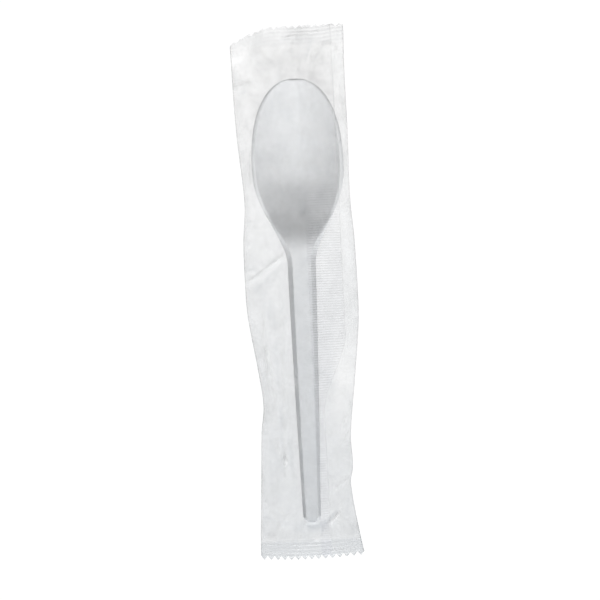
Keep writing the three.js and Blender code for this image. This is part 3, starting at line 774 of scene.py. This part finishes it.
def polypropyleneFilm(name, look):
    # biaxially oriented polypropylene film, cast and stretched: thin and clear, a little milky,
    # and whiter where it is creased
    material, tree = newMaterial(name)
    place = addNode(tree, "ShaderNodeTexCoord").outputs["Object"]
    fold, dullingAndShade, pleat = (
        addNode(tree, "ShaderNodeAttribute", {"attribute_name": mark}).outputs["Fac"]
        for mark in ("fold", "dullingAndShade", "pleat"))
    low, high = look["ridged"]

    # milk, which stops the light: small crinkles, soft clouds and sharp folds
    crinkle = addNode(
        tree, "ShaderNodeTexNoise", {"noise_type": "RIDGED_MULTIFRACTAL"},
        {"Scale": 1000 / look["crinkleSize"] / 4, "Detail": 3.0, "Roughness": 0.55},  # four show in a cell
        {"Vector": place}).outputs["Fac"]
    marks = addNode(
        tree, "ShaderNodeMapRange", {},
        {"From Min": low, "From Max": high, "To Min": 0.0, "To Max": look["crinkleHaze"]},
        {"Value": crinkle})
    cloud = addNode(
        tree, "ShaderNodeTexNoise", {}, {"Scale": 1000 / look["cloudSize"], "Detail": 4.0},
        {"Vector": place})
    haze = addNode(
        tree, "ShaderNodeMapRange", {},
        {"From Min": 0.35, "From Max": 0.65, "To Min": look["haze"] * 0.3, "To Max": look["haze"] * 1.7},
        {"Value": cloud.outputs["Fac"]})
    smooth = addNode(
        tree, "ShaderNodeMath", {"operation": "ADD"}, {},
        {0: marks.outputs["Result"], 1: haze.outputs["Result"]})
    cover = addNode(
        tree, "ShaderNodeMath", {"operation": "MULTIPLY_ADD", "use_clamp": True}, {1: look["foldHaze"]},
        {0: fold, 2: smooth.outputs[0]})
    bump = addNode(
        tree, "ShaderNodeBump", {}, {"Strength": 0.6, "Distance": look["crinkleDepth"] * mm},
        {"Height": crinkle})
    milk = addNode(
        tree, "ShaderNodeBsdfPrincipled", {},
        {"Base Color": linearColour(look["milk"]), "Roughness": look["milkRoughness"], "IOR": 1.49},
        {"Normal": bump.outputs["Normal"]})

    # what the clear part lets through: duller towards the handle's end and in the pressed ends, and darker
    # as painted shade in the creases' valleys, below the handle's end and along the fine pleats
    lengthwise = addNode(
        tree, "ShaderNodeMapping", {}, {"Scale": (1, look["pleatSize"] / look["pleatLength"], 1)},
        {"Vector": place})
    pleats = addNode(
        tree, "ShaderNodeTexNoise", {"noise_type": "RIDGED_MULTIFRACTAL"},
        {"Scale": 1000 / look["pleatSize"] / 2, "Detail": 2.0},  # two show in a cell
        {"Vector": lengthwise.outputs["Vector"]})
    lines = addNode(
        tree, "ShaderNodeMapRange", {},
        {"From Min": low, "From Max": high, "To Min": 0.0, "To Max": look["pleatShade"]},
        {"Value": pleats.outputs["Fac"]})
    shaded = addNode(
        tree, "ShaderNodeMath", {"operation": "MULTIPLY_ADD"}, {},
        {0: lines.outputs["Result"], 1: pleat, 2: dullingAndShade})
    passes = addNode(
        tree, "ShaderNodeMix", {"data_type": "RGBA"},
        {6: linearColour(look["clean"]), 7: linearColour(look["dulledAndShaded"])}, {"Factor": shaded.outputs[0]})
    clear = addNode(tree, "ShaderNodeBsdfTransparent", {}, {}, {"Color": passes.outputs[2]})
    milky = addNode(
        tree, "ShaderNodeMixShader", {}, {},
        {"Fac": cover.outputs[0], 1: clear.outputs[0], 2: milk.outputs[0]})

    # a soft mirror, stronger at a low angle
    facing = addNode(
        tree, "ShaderNodeLayerWeight", {}, {"Blend": 0.5}, {"Normal": bump.outputs["Normal"]})
    grazing = addNode(
        tree, "ShaderNodeMath", {"operation": "POWER"}, {1: 5.0}, {0: facing.outputs["Facing"]})
    mirror = addNode(
        tree, "ShaderNodeMath", {"operation": "MULTIPLY_ADD"}, {1: look["grazing"], 2: look["mirror"]},
        {0: grazing.outputs[0]})
    gloss = addNode(
        tree, "ShaderNodeBsdfAnisotropic", {}, {"Color": (1, 1, 1, 1), "Roughness": look["gloss"]},
        {"Normal": bump.outputs["Normal"]})
    whole = addNode(
        tree, "ShaderNodeMixShader", {}, {},
        {"Fac": mirror.outputs[0], 1: milky.outputs[0], 2: gloss.outputs[0]})
    addNode(tree, "ShaderNodeOutputMaterial", {}, {}, {"Surface": whole.outputs[0]})
    return material


spoonLook = {
    "pale": "#f2f3f4",
    "deep": "#e2e4e6",
    "flowSize": 2.6,  # millimetres across the streaks that the melt left as it ran along the mould
    "flowLength": 22.0,
    "handleEnd": "#e5e7e9",  # painted shade: its face is drawn a little darker from neck to end
    "handleRun": (5.0, -75.0),  # where that begins and is complete
    "grainSize": 0.35,
    "grainDepth": 0.03,
    "roughness": (0.36, 0.44),
}


def mouldedStarchPlastic():
    # injection-moulded plant-starch and polypropylene blend: pale grey-white, satin, with faint flow clouds,
    # and painted shade towards the handle's end
    look = spoonLook
    material, tree = newMaterial("mouldedStarchPlastic")
    place = addNode(tree, "ShaderNodeTexCoord").outputs["Object"]
    along = addNode(
        tree, "ShaderNodeMapping", {}, {"Scale": (1, look["flowSize"] / look["flowLength"], 1)},
        {"Vector": place})
    flow = addNode(
        tree, "ShaderNodeTexNoise", {}, {"Scale": 1000 / look["flowSize"], "Detail": 4.0, "Distortion": 0.4},
        {"Vector": along.outputs["Vector"]})
    clouded = addNode(
        tree, "ShaderNodeMix", {"data_type": "RGBA"},
        {6: linearColour(look["pale"]), 7: linearColour(look["deep"])}, {"Factor": flow.outputs["Fac"]})
    axes = addNode(tree, "ShaderNodeSeparateXYZ", {}, {}, {"Vector": place})
    start, end = look["handleRun"]
    # painted shade, growing from the neck to the handle's end
    towardsEnd = addNode(
        tree, "ShaderNodeMapRange", {}, {"From Min": start * mm, "From Max": end * mm},
        {"Value": axes.outputs["Y"]})
    endShade = addNode(
        tree, "ShaderNodeMix", {"data_type": "RGBA"}, {7: linearColour(look["handleEnd"])},
        {"Factor": towardsEnd.outputs["Result"], 6: clouded.outputs[2]})
    grain = addNode(
        tree, "ShaderNodeTexNoise", {}, {"Scale": 1000 / look["grainSize"], "Detail": 2.0},
        {"Vector": place})
    smoothest, roughest = look["roughness"]
    satin = addNode(
        tree, "ShaderNodeMapRange", {},
        {"From Min": 0.3, "From Max": 0.7, "To Min": smoothest, "To Max": roughest},
        {"Value": grain.outputs["Fac"]})
    bump = addNode(
        tree, "ShaderNodeBump", {}, {"Strength": 0.15, "Distance": look["grainDepth"] * mm},
        {"Height": grain.outputs["Fac"]})
    body = addNode(
        tree, "ShaderNodeBsdfPrincipled", {}, {"IOR": 1.5},
        {"Base Color": endShade.outputs[2], "Roughness": satin.outputs["Result"],
         "Normal": bump.outputs["Normal"]})
    addNode(tree, "ShaderNodeOutputMaterial", {}, {}, {"Surface": body.outputs[0]})
    return material


# the studio

studio = {
    "ambient": 0.04,
    # lamps: the way to each from the pack, its distance and width in metres, and its power
    "key": {"way": (0.12, -1.0, 0.38), "distance": 2.2, "size": 1.7, "watts": 74.0},
    "overhead": {"way": (0.0, 0.1, 1.0), "distance": 1.6, "size": 0.9, "watts": 8.7},
    "fill": {"way": (-1.0, -0.3, 0.8), "distance": 2.2, "size": 1.2, "watts": 1.5},
}
paper = {
    "halfSize": 1500,
    "height": -0.05,
    "matt": "#f0f0f0",
    "seenMatt": "#5f5f5f",  # dark enough that lamps and glow together stay just at white
    "seenGlow": 0.94,
}
view = {
    "centre": (-0.00003, -0.00276),  # in metres, above the pack
    "distance": 0.619,
    "focusHeight": 0.006,
    "turn": math.radians(-2.89),
    "lens": 100,
    "sensor": 36,
}


def whiteWhereSeen(tree, kind, otherwise, white):
    # the second shader for rays that show the background, and the first for those that light the pack
    path = addNode(tree, "ShaderNodeLightPath").outputs
    direct = addNode(
        tree, "ShaderNodeMath", {"operation": "MAXIMUM"}, {},
        {0: path["Is Camera Ray"], 1: path["Is Glossy Ray"]})
    seen = addNode(
        tree, "ShaderNodeMath", {"operation": "MAXIMUM"}, {},
        {0: direct.outputs[0], 1: path["Is Transmission Ray"]})
    whole = addNode(
        tree, "ShaderNodeMixShader", {}, {},
        {"Fac": seen.outputs[0], 1: otherwise.outputs[0], 2: white.outputs[0]})
    addNode(tree, kind, {}, {}, {"Surface": whole.outputs[0]})


def studioPaper():
    # matt white paper sweep: the camera sees it as white, and it keeps the pack's soft shadow
    material, tree = newMaterial("whiteStudioPaper")
    matt = addNode(tree, "ShaderNodeBsdfDiffuse", {}, {"Color": linearColour(paper["matt"])})
    shaded = addNode(tree, "ShaderNodeBsdfDiffuse", {}, {"Color": linearColour(paper["seenMatt"])})
    glow = addNode(tree, "ShaderNodeEmission", {}, {"Color": (1, 1, 1, 1), "Strength": paper["seenGlow"]})
    white = addNode(tree, "ShaderNodeAddShader", {}, {}, {0: shaded.outputs[0], 1: glow.outputs[0]})
    whiteWhereSeen(tree, "ShaderNodeOutputMaterial", matt, white)
    return material


def makeWorld():
    world = bpy.data.worlds.new("studio")
    world.use_nodes = True
    tree = world.node_tree
    tree.nodes.clear()
    soft, white = (
        addNode(tree, "ShaderNodeBackground", {}, {"Color": (1, 1, 1, 1), "Strength": strength})
        for strength in (studio["ambient"], 1.0))
    whiteWhereSeen(tree, "ShaderNodeOutputWorld", soft, white)
    return world


def makeFloor():
    reach, height = paper["halfSize"], paper["height"]
    corners = [(x * reach, y * reach, height) for x, y in ((-1, -1), (1, -1), (1, 1), (-1, 1))]
    floor = meshObject("floor", corners, [(0, 1, 2, 3)])
    floor.data.materials.append(studioPaper())


def makeCamera():
    data = bpy.data.cameras.new("camera")
    data.type = "PERSP"
    data.lens, data.sensor_width = view["lens"], view["sensor"]
    data.clip_start, data.clip_end = 0.01, 20
    camera = bpy.data.objects.new("camera", data)
    camera.location = (*view["centre"], view["distance"] + view["focusHeight"])
    camera.rotation_euler = (0, 0, view["turn"])
    bpy.context.scene.collection.objects.link(camera)
    bpy.context.scene.camera = camera


def makeLight(name, way, distance, size, watts):
    data = bpy.data.lights.new(name, "AREA")
    data.shape, data.size, data.energy = "DISK", size, watts
    lamp = bpy.data.objects.new(name, data)
    towards = Vector(way).normalized()
    lamp.location = towards * distance
    lamp.rotation_euler = (-towards).to_track_quat("-Z", "Y").to_euler()
    bpy.context.scene.collection.objects.link(lamp)


def makeStudio():
    scene = bpy.context.scene
    scene.view_settings.view_transform = "Standard"
    scene.cycles.transparent_max_bounces = 32  # the film is crossed many times
    scene.world = makeWorld()
    for name in ("key", "overhead", "fill"):
        makeLight(name, **studio[name])
    makeFloor()


makeCamera()
makeStudio()
print("studio ready")

spoon = makeSpoon()
spoon.data.materials.append(mouldedStarchPlastic())
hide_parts("spoon")
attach(spoon, "root")
print("spoon ready:", len(spoon.data.polygons), "faces")

openFilm = polypropyleneFilm("orientedPolypropyleneFilm", filmLook)
fusedFilm = polypropyleneFilm("heatSealedPolypropylene", fusedLook)
pouch, frontFilm = makePouch()
fin = makeFin(*frontFilm)
# each part of the one sheet with its flat size in metres
for piece, skin, flat in ((pouch, openFilm, (0.086, 0.197)), (fin, fusedFilm, (0.013, 0.197))):
    piece.data.materials.append(skin)
    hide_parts("film_wrapper")
    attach(piece, "root")
print("film ready")
